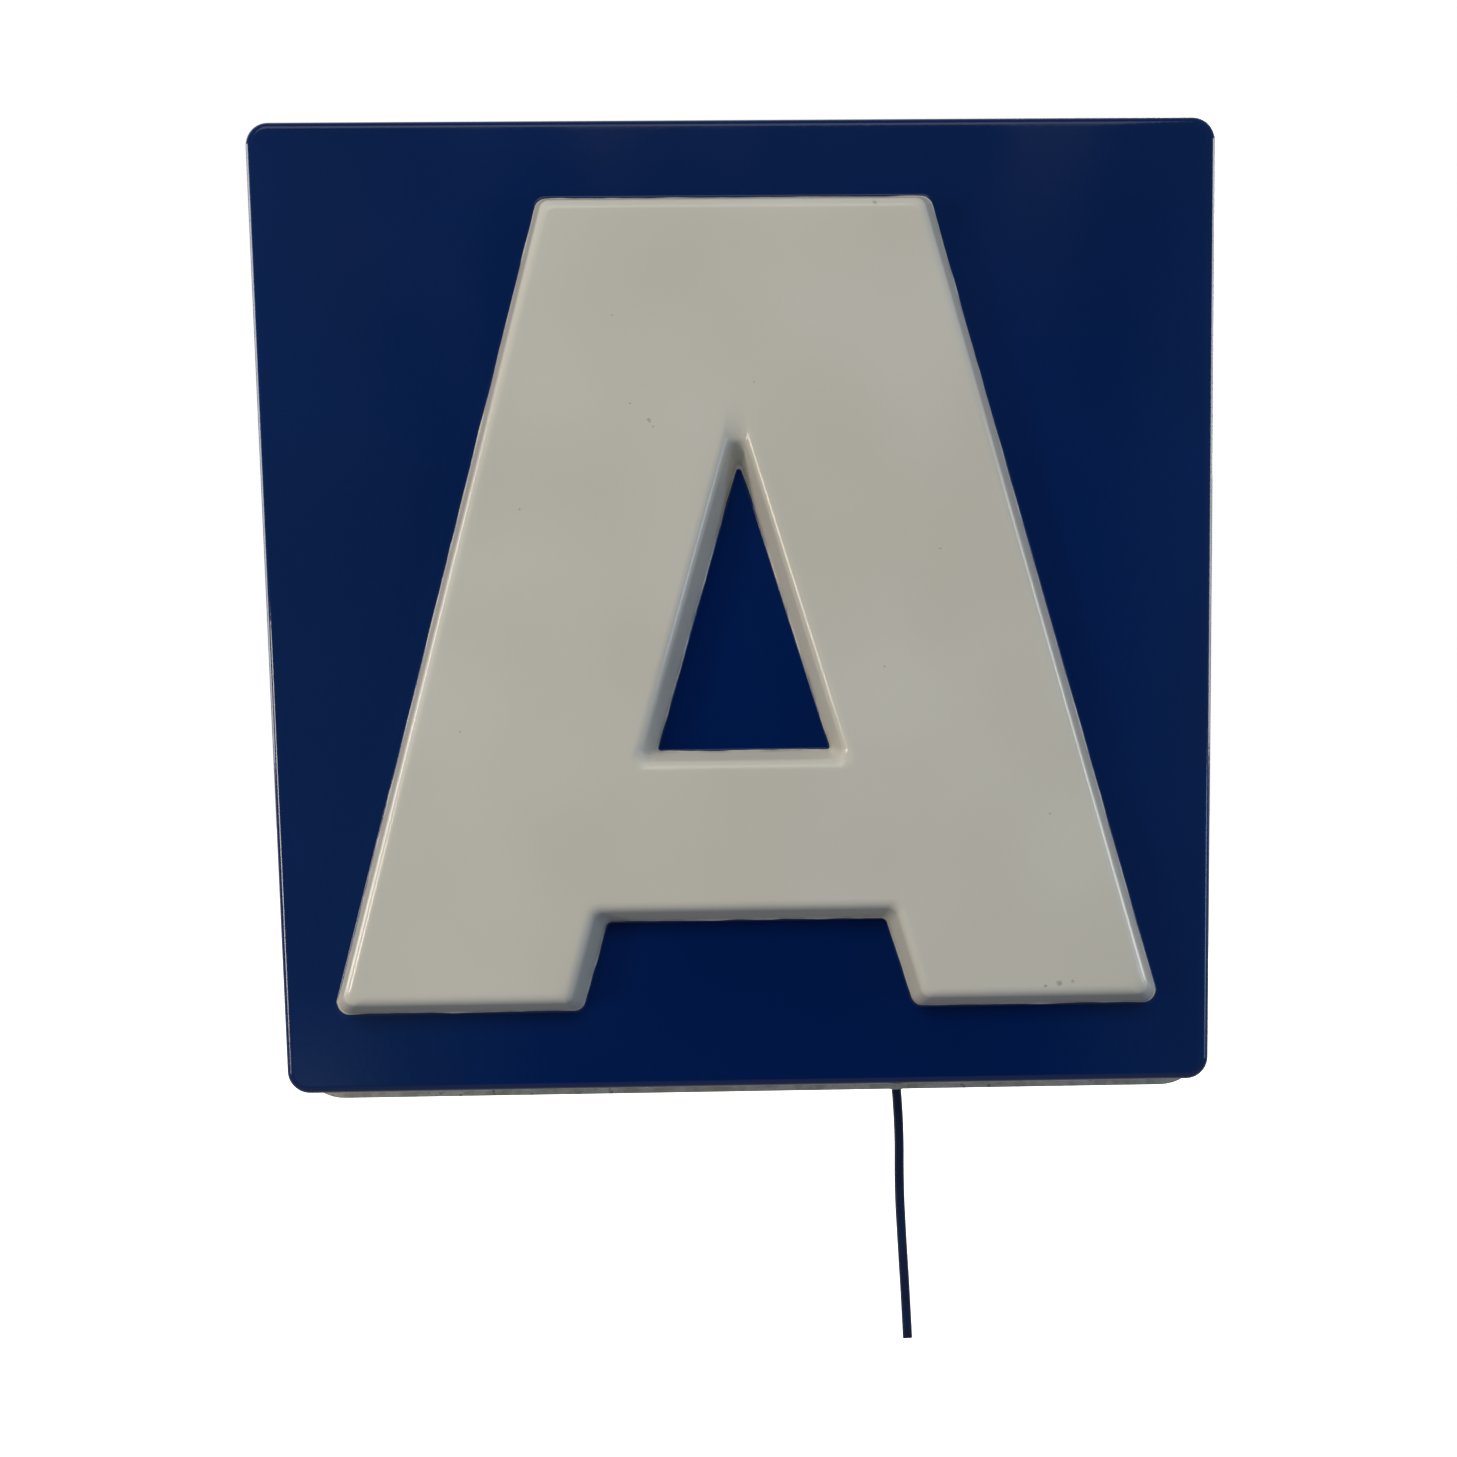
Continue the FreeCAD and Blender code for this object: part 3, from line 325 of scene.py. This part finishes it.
# the relief's section, from the ground to the letter's flat top, as (inset, height) pairs
def reliefSection(thick=0.0):
    angle = math.atan2(letter["relief"], letter["draft"])
    footRadius, topRadius = letter["footFillet"] + thick, max(letter["topFillet"] - thick, 0.6)
    shift = thick * (1 - math.cos(angle)) / math.sin(angle)
    pairs, steps = [], shell["filletSteps"]
    reach = footRadius * math.tan(angle / 2)
    for step in range(steps + 1):
        turn = angle * step / steps
        pairs.append((shift - reach + footRadius * math.sin(turn), footRadius * (1 - math.cos(turn))))
    reach = topRadius * math.tan(angle / 2)
    for step in range(steps + 1):
        turn = angle * (1 - step / steps)
        inset = shift + letter["draft"] + reach - topRadius * math.sin(turn)
        pairs.append((inset, letter["relief"] - topRadius + topRadius * math.cos(turn)))
    return [(pairs[0][0] - 1.2, pairs[0][1])] + pairs + [(pairs[-1][0] + 2.0, pairs[-1][1])]


def letterRings(out, thick=0.0):
    corners, counter = letterCorners(), counterCorners()
    outlineRings, counterRings = [], []
    concave = (0, 7)  # the two corners where the notch meets the crossbar
    for inset, height in reliefSection(thick):
        share = height / letter["relief"]
        low, high = letter["outerCorner"]
        outer = low + (high - low) * share
        low, high = letter["innerCorner"]
        inner = low + (high - low) * share
        radii = [inner if index in concave else outer for index in range(len(corners))]
        outlineRings.append(ring(insetCorners(corners, inset), radii, out + height))
        low, high = letter["counterCorner"]
        counterRadii = [low + (high - low) * share] * 3
        counterRings.append(ring(insetCorners(counter, -inset), counterRadii, out + height))
    return outlineRings, counterRings


# the box's section from the face's flat part, round the front edge, down the side and out to the flange
def boxSection():
    slope = math.radians(shell["draft"])
    edge, faceOut, flangeOut = shell["edge"], shell["faceOut"], shell["back"] + shell["wall"]
    turnMost = math.radians(90) - slope
    reach = edge * math.tan(turnMost / 2)
    pairs = [(-reach - 2.0, faceOut)]
    for step in range(shell["filletSteps"] + 1):
        turn = turnMost * step / shell["filletSteps"]
        pairs.append((-reach + edge * math.sin(turn), faceOut - edge + edge * math.cos(turn)))
    root, rootReach = shell["rootFillet"], shell["rootFillet"] * math.tan(turnMost / 2)
    baseGrowth = (faceOut - flangeOut) * math.tan(slope)
    for step in range(shell["filletSteps"] + 1):
        turn = turnMost * (1 - step / shell["filletSteps"])
        growth = baseGrowth + rootReach - root * math.sin(turn)
        pairs.append((growth, flangeOut + root - root * math.cos(turn)))
    edgeBreak = 0.4
    pairs += [(shell["flange"] - edgeBreak, flangeOut), (shell["flange"], flangeOut - edgeBreak),
              (shell["flange"], shell["back"] + edgeBreak), (shell["flange"] - edgeBreak, shell["back"])]
    wall, inside = shell["wall"], faceOut - shell["wall"]
    openGrowth = (faceOut - shell["back"]) * math.tan(slope) - wall
    pairs += [(openGrowth + edgeBreak, shell["back"]), (openGrowth, shell["back"] + edgeBreak)]
    innerEdge = edge - wall
    for step in range(shell["filletSteps"] + 1):
        turn = turnMost * (1 - step / shell["filletSteps"])
        growth = -wall - innerEdge * (math.tan(turnMost / 2) - math.sin(turn)) + wall * math.tan(slope)
        pairs.append((growth, inside - innerEdge + innerEdge * math.cos(turn)))
    return pairs


def makeShell():
    vertices, faces = [], []

    def addRings(rings, flip):
        starts = []
        for points in rings:
            starts.append(len(vertices))
            vertices.extend(points)
        count = len(rings[0])
        for low, high in zip(starts, starts[1:]):
            for side in range(count):
                quad = (low + side, low + (side + 1) % count, high + (side + 1) % count, high + side)
                faces.append(tuple(reversed(quad)) if flip else quad)
        return [list(range(s, s + count)) for s in (starts[0], starts[-1])]

    def addFlat(loops, flip):
        flatPoints = [[Vector((vertices[i].x, vertices[i].z, 0)) for i in loop] for loop in loops]
        order = [i for loop in loops for i in loop]
        for triangle in tessellate_polygon(flatPoints):
            a, b, c = (vertices[order[i]] for i in triangle)
            upright = (b - a).cross(c - a).y < 0
            faces.append(tuple(order[i] for i in (triangle if upright != flip else reversed(triangle))))

    outer, counter = letterRings(shell["faceOut"])
    section = boxSection()
    boxStart, boxEnd = addRings([boxRing(growth, out) for growth, out in section], True)
    perRing = len(faces) // (len(section) - 1)
    flangeBack = next(index for index, pair in enumerate(section) if pair[1] <= shell["back"])
    bare = list(range((flangeBack - 1) * perRing, len(faces)))
    letterStart, letterEnd = addRings(outer, False)
    counterStart, counterEnd = addRings(counter, True)
    addFlat([boxStart, letterStart], False)
    addFlat([counterStart], False)
    addFlat([letterEnd, counterEnd], False)
    insideFrom = len(faces)
    outer, counter = letterRings(shell["faceOut"] - shell["wall"], shell["wall"])
    letterStart, letterEnd = addRings(outer, True)
    counterStart, counterEnd = addRings(counter, False)
    addFlat([boxEnd, letterStart], True)
    addFlat([counterStart], True)
    addFlat([letterEnd, counterEnd], True)
    piece = addMesh("faceShell", vertices, faces, "face_cover", 50)
    bare += range(insideFrom, len(faces))
    unpainted = piece.data.attributes.new("unpainted", "FLOAT", "FACE")
    for index in bare:
        unpainted.data[index].value = 1.0
    smooth = piece.modifiers.new("evenShading", "WEIGHTED_NORMAL")
    smooth.keep_sharp = True
    smooth.weight = 80
    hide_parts("face_shell")
    return piece


# opal acrylic, cast and vacuum formed: milky and satin, warm with age, with painted shade darkening the
# white at the letter's foot.
# sprayed blue lacquer: deep and glossy, with a faint orange peel and a masked edge that wanders.
# one grey-brown serves both the dust specks on the white and the painted shade at the letter's foot
lacquer = {
    "blue": ("#001b50", "#011e56"), "white": ("#d1ccc3", "#cac4ba"), "specksAndFootShade": "#6f6a5c", "stain": "#5d4a3a",
    "stainDepth": 0.42, "stainRaggedness": 2.6, "dirtReach": 3.0, "speckSpacing": 26.0,
    "lineSize": 22.0, "blueSize": 160.0, "whiteSize": 90.0, "peelSize": 3.0, "sagSize": 120.0,
    "peelDepth": 0.03,
    "lineOut": 88.5, "lineWander": 0.3, "blueRough": (0.07, 0.17), "whiteRough": (0.17, 0.22),
}


# old stains on the letter's flat top: across, up and radius
stains = [
    (166.0, -197.0, 2.0), (158.5, -198.0, 1.2), (173.0, -196.0, 1.1), (72.0, 204.0, 1.6), (79.0, 205.0, 0.9),
    (-45.0, 97.0, 1.3), (-43.0, 94.0, 0.9), (-147.0, -60.0, 0.8), (104.0, 31.0, 0.8),
]


def stainMask(tree, place):
    raggedness = lacquer["stainRaggedness"] * mm
    noise = addNode(tree, "ShaderNodeTexNoise", {}, {"Vector": place, "Scale": 1 / (1.6 * mm)})
    shift = addNode(tree, "ShaderNodeVectorMath", {"operation": "MULTIPLY_ADD"},
                    {0: noise.outputs["Color"], 1: (raggedness,) * 3, 2: (-raggedness / 2,) * 3}).outputs[0]
    moved = addNode(tree, "ShaderNodeVectorMath", {"operation": "ADD"}, {0: place, 1: shift}).outputs[0]
    mask = 0.0
    for x, z, radius in stains:
        middle = (x * mm, -(shell["faceOut"] + letter["relief"]) * mm, z * mm)
        measure = addNode(tree, "ShaderNodeVectorMath", {"operation": "DISTANCE"}, {0: moved, 1: middle})
        spot = remap(tree, measure.outputs["Value"], radius * 0.3 * mm, radius * mm,
                     lacquer["stainDepth"], 0.0)
        mask = mathOf(tree, "MAXIMUM", mask, spot)
    return mask


def lacqueredAcrylic():
    material, tree, shader, place = newMaterial("blueLacquerOnOpalAcrylic", {"IOR": 1.49})
    split = addNode(tree, "ShaderNodeSeparateXYZ", {}, {0: place}).outputs
    out = mathOf(tree, "MULTIPLY", split["Y"], -1.0 / mm)
    lineNoise = noiseOf(tree, place, lacquer["lineSize"], detail=1.5)
    wander = remap(tree, lineNoise, 0.2, 0.8, -lacquer["lineWander"], lacquer["lineWander"])
    height = mathOf(tree, "SUBTRACT", mathOf(tree, "ADD", out, wander), lacquer["lineOut"])
    behind = addNode(tree, "ShaderNodeAttribute", {"attribute_name": "unpainted"}).outputs["Fac"]
    isWhite = mathOf(tree, "MAXIMUM", remap(tree, height, -0.12, 0.12, 0, 1), behind)
    blueMix = remap(tree, noiseOf(tree, place, lacquer["blueSize"], detail=1.0), 0.3, 0.7, 0, 1)
    blue = blendColours(tree, blueMix, linear(lacquer["blue"][0]), linear(lacquer["blue"][1]))
    whiteMix = remap(tree, noiseOf(tree, place, lacquer["whiteSize"], detail=1.0), 0.2, 0.8, 0, 1)
    white = blendColours(tree, whiteMix, linear(lacquer["white"][0]), linear(lacquer["white"][1]))
    # painted shade: for a few millimetres above the paint line the white is darkened in patches, where the
    # letter's foot meets the blue ground
    nearFoot = remap(tree, height, 0.0, lacquer["dirtReach"], 0.5, 0.0)
    footShadeAmount = mathOf(tree, "MULTIPLY", nearFoot, mathOf(tree, "SUBTRACT", 1.0, behind))
    patchy = remap(tree, noiseOf(tree, place, 14.0), 0.35, 0.7, 0, 1)
    white = blendColours(tree, mathOf(tree, "MULTIPLY", footShadeAmount, patchy), white, linear(lacquer["specksAndFootShade"]))
    speckInputs = {"Vector": place, "Scale": 1 / (lacquer["speckSpacing"] * mm)}
    specks = addNode(tree, "ShaderNodeTexVoronoi", {}, speckInputs).outputs[0]
    speckMask = remap(tree, specks, 0.012, 0.028, 0.45, 0.0)
    white = blendColours(tree, speckMask, white, linear(lacquer["specksAndFootShade"]))
    white = blendColours(tree, stainMask(tree, place), white, linear(lacquer["stain"]))
    tree.links.new(blendColours(tree, isWhite, blue, white), shader.inputs["Base Color"])
    smear = noiseOf(tree, place, lacquer["whiteSize"], (1, 1, 0.6), 1.0)
    blueRough = remap(tree, smear, 0.35, 0.65, *lacquer["blueRough"])
    whiteRough = remap(tree, smear, 0.35, 0.65, *lacquer["whiteRough"])
    roughInputs = {0: isWhite, 2: blueRough, 3: whiteRough}
    roughMix = addNode(tree, "ShaderNodeMix", {"data_type": "FLOAT"}, roughInputs)
    tree.links.new(roughMix.outputs[0], shader.inputs["Roughness"])
    peel = noiseOf(tree, place, lacquer["peelSize"], detail=1.0)
    sag = mathOf(tree, "MULTIPLY", noiseOf(tree, place, lacquer["sagSize"], detail=1.0), 8.0)
    bumpInto(tree, shader, mathOf(tree, "ADD", peel, sag), lacquer["peelDepth"])
    return material


# every other finish
finishes = {
    # closed-cell foam: dull, dark and pitted
    "foam": ("closedCellFoam", {"tones": ("#2b2b2d", "#39393b"), "patch": 12, "roughness": (0.85, 0.95),
                                "grain": 0.8, "height": 0.25}),
    # folded aluminium left as it came, dulled to a chalky grey oxide that hardly mirrors any more
    "mill_aluminium": ("weatheredAluminium", {"tones": ("#d9d4ca", "#bbb5a8"), "metallic": 0.3, "patch": 9,
                       "roughness": (0.42, 0.62), "grain": 0.35, "height": 0.02,
                       "dirt": {"size": 4, "from": 0.6, "amount": 0.7, "colour": "#54534c"}}),
    # zinc-plated steel: pale and bright, with a faint cloudy film
    "zinc_screws": ("zincPlatedSteel", {"tones": ("#c9c9c4", "#b1b3ae"), "metallic": 1.0, "patch": 2,
                    "roughness": (0.25, 0.42), "grain": 0.2, "height": 0.01}),
    # stove enamel on sheet steel: creamy white and semi-gloss, with a light orange peel and dust
    "white_painted_steel": ("stoveEnamel", {"tones": ("#dedcd2", "#d3d0c4"), "patch": 70,
                            "roughness": (0.3, 0.45), "grain": 1.6, "height": 0.02,
                            "dirt": {"size": 60, "from": 0.6, "amount": 0.35, "colour": "#8d8675"}}),
    # moulded urea plastic: hard white, slightly yellowed
    "white_moulding": ("mouldedUrea", {"tones": ("#e0dccb", "#d5d0bb"), "patch": 10,
                       "roughness": (0.32, 0.42), "grain": 0.5, "height": 0.01}),
    # bright brass, a little tarnished
    "brass": ("tarnishedBrass", {"tones": ("#c9a45a", "#a98343"), "metallic": 1.0, "patch": 3,
              "roughness": (0.22, 0.4), "grain": 0.2, "height": 0.01}),
    # dipped varnish over steel laminations: dark grey, uneven and slightly shiny
    "ballast_case": ("dippedVarnish", {"tones": ("#44474a", "#34373a"), "patch": 14,
                     "roughness": (0.35, 0.55), "grain": 0.9, "height": 0.05,
                     "dirt": {"size": 9, "from": 0.62, "amount": 0.5, "colour": "#7c776b"}}),
    # drawn aluminium: pale and soft, with faint rings
    "aluminium_can": ("drawnAluminium", {"tones": ("#d4d4d2", "#c2c2c0"), "metallic": 1.0, "patch": 6,
                      "roughness": (0.28, 0.4), "grain": 0.3, "height": 0.01}),
    # nickel and glass mount inside a tube
    "cathode_metal": ("nickelWire", {"tones": ("#9b9a96", "#878682"), "metallic": 1.0, "patch": 4,
                      "roughness": (0.3, 0.4), "grain": 0.3, "height": 0.01}),
    # white PVC wire: waxy and smooth
    "wire_pvc": ("waxyWireInsulation", {"tones": ("#dbd8cf", "#cfcbc0"), "patch": 20,
                 "roughness": (0.35, 0.45), "grain": 0.6, "height": 0.01}),
    # soft grey moulded plastic, dusty
    "grey_pvc": ("mouldedGreyPvc", {"tones": ("#8b8f90", "#7c8081"), "patch": 4, "roughness": (0.5, 0.65),
                 "grain": 0.4, "height": 0.02}),
    # dark lead sheath: nearly black with a blue cast, smooth and faintly shiny
    "dark_pvc": ("leadSheathPvc", {"tones": ("#0a173a", "#0c1b42"), "patch": 18, "roughness": (0.3, 0.4),
                 "grain": 0.5, "height": 0.015}),
    # bare copper strands
    "copper": ("bareCopper", {"tones": ("#c07a50", "#a9633d"), "metallic": 1.0, "patch": 0.6,
               "roughness": (0.25, 0.4), "grain": 0.25, "height": 0.04}),
}


# glass tube with a phosphor coat inside: milky white and glossy, greyed near both ends
def coatedGlass():
    material, tree, shader, place = newMaterial("phosphorCoatedGlass", {"Roughness": 0.08, "IOR": 1.5})
    split = addNode(tree, "ShaderNodeSeparateXYZ", {}, {0: place}).outputs
    fromMiddle = addNode(tree, "ShaderNodeMath", {"operation": "ABSOLUTE"}, {0: split["Z"]}).outputs[0]
    patchy = remap(tree, noiseOf(tree, place, 15.0), 0.3, 0.7, -4 * mm, 4 * mm)
    ends = remap(tree, mathOf(tree, "ADD", fromMiddle, patchy), 0.188, 0.206, 0, 1)
    tone = blendColours(tree, ends, linear("#e9e8e2"), linear("#8c8880"))
    tree.links.new(tone, shader.inputs["Base Color"])
    bumpInto(tree, shader, noiseOf(tree, place, 30.0, detail=1.0), 0.05)
    return material


def paintNodes():
    made = {name: finishMaterial(*settings) for name, settings in finishes.items()}
    made["lacquered_acrylic"] = lacqueredAcrylic()
    made["coated_glass"] = coatedGlass()
    for part in frame["record"]["subparts"]:
        for place in frame["nodes"][part["node"]].material_slots:
            place.material = made[part["material_slot"]]
    return made


materials = paintNodes()
faceShell = makeShell()
faceShell.data.materials.append(materials["lacquered_acrylic"])
mainsLead.data.materials.append(materials["dark_pvc"])
print("face shell made:", len(faceShell.data.polygons), "faces;", len(materials), "finishes")


# plain stage: pale floor, white surroundings and soft lights
stage = {
    "floorBelow": 0.10, "floorHalf": 60.0, "floorGlow": 1.12,
    "dim": "#191d24", "haze": "#577176", "bounce": "#868a90", "behind": "#b9bab8",
    "lights": [
        # name, place, size across and up, power, colour, whether glossy surfaces mirror it
        ("mainSoftbox", (-0.9, -6.2, 5.2), (6.0, 3.4), 325.0, "#fffaf0", False),
        ("sheenSoftbox", (-0.9, -6.2, 5.6), (6.0, 3.4), 70.0, "#fffaf0", True),
        ("leftStrip", (-2.3, -1.4, -0.15), (0.5, 0.9), 21.0, "#fff0dc", True),
        ("rightStrip", (2.6, -1.3, -0.35), (0.5, 0.7), 9.0, "#a9c8ff", True),
        ("cornerWindow", (-1.10, -2.42, -0.74), (0.30, 0.24), 0.17, "#b4d0ff", True),
        ("rightFill", (2.8, 0.3, 0.7), (1.4, 1.4), 34.0, "#fbfaf6", True),
        ("leftFill", (-2.8, 0.3, 0.7), (1.4, 1.4), 34.0, "#fbfaf6", True),
        ("backFill", (1.2, 3.2, 1.6), (2.0, 1.6), 60.0, "#fbfaf6", True),
    ],
}


def makeStage():
    low = cadBox[0].z - stage["floorBelow"]
    floor = bpy.data.meshes.new("floor")
    half = stage["floorHalf"]
    floor.from_pydata([(-half, -half, low), (half, -half, low), (half, half, low), (-half, half, low)], [],
                      [(0, 1, 2, 3)])
    piece = bpy.data.objects.new("floor", floor)
    scene.collection.objects.link(piece)
    material, tree, shader, place = newMaterial("paleFloor", {"Roughness": 0.9})
    tone = blendColours(tree, noiseOf(tree, place, 400.0), linear("#f4f4f2"), linear("#eeeeec"))
    tree.links.new(tone, shader.inputs["Base Color"])
    tree.links.new(tone, shader.inputs["Emission Color"])
    shader.inputs["Emission Strength"].default_value = stage["floorGlow"]
    floor.materials.append(material)
    piece.visible_diffuse = False
    piece.visible_glossy = False
    piece.visible_shadow = False


def makeLights():
    for name, place, size, power, colour, mirrored in stage["lights"]:
        data = bpy.data.lights.new(name, "AREA")
        data.shape = "RECTANGLE"
        data.size, data.size_y = size
        data.energy = power
        data.color = linear(colour)[:3]
        lamp = bpy.data.objects.new(name, data)
        lamp.location = place
        lamp.visible_glossy = mirrored
        lamp.rotation_euler = (Vector((0, -0.05, 0)) - Vector(place)).to_track_quat("-Z", "Y").to_euler()
        scene.collection.objects.link(lamp)


# the camera sees plain white, and the sign sees a dim room
def makeSurroundings():
    world = bpy.data.worlds.new("surroundings")
    world.use_nodes = True
    tree = world.node_tree
    tree.nodes.clear()
    seen = addNode(tree, "ShaderNodeLightPath").outputs["Is Camera Ray"]
    way = addNode(tree, "ShaderNodeTexCoord").outputs["Generated"]
    split = addNode(tree, "ShaderNodeSeparateXYZ", {}, {0: way}).outputs
    across = mathOf(tree, "ABSOLUTE", split["X"], 0.0)
    above = remap(tree, split["Z"], 0.12, 0.5, 0, 0.9)
    sides = mathOf(tree, "MAXIMUM", above, remap(tree, across, 0.13, 0.3, 0, 1))
    dimColour, haze, bounce, wall = (linear(stage[name]) for name in ("dim", "haze", "bounce", "behind"))
    glow = blendColours(tree, sides, dimColour, haze)
    glow = blendColours(tree, remap(tree, split["Z"], -0.25, -0.6, 0, 1), glow, bounce)
    glow = blendColours(tree, remap(tree, split["Y"], 0.0, 0.35, 0, 1), glow, wall)
    dim = addNode(tree, "ShaderNodeBackground", {}, {"Color": glow, "Strength": 1.0})
    white = addNode(tree, "ShaderNodeBackground", {}, {"Color": (1, 1, 1, 1), "Strength": 1.0})
    mixed = addNode(tree, "ShaderNodeMixShader", {}, {0: seen, 1: dim.outputs[0], 2: white.outputs[0]})
    addNode(tree, "ShaderNodeOutputWorld", {}, {"Surface": mixed.outputs[0]})
    scene.world = world
    scene.view_settings.view_transform = "Standard"


makeStage()
makeLights()
makeSurroundings()
print("stage set")
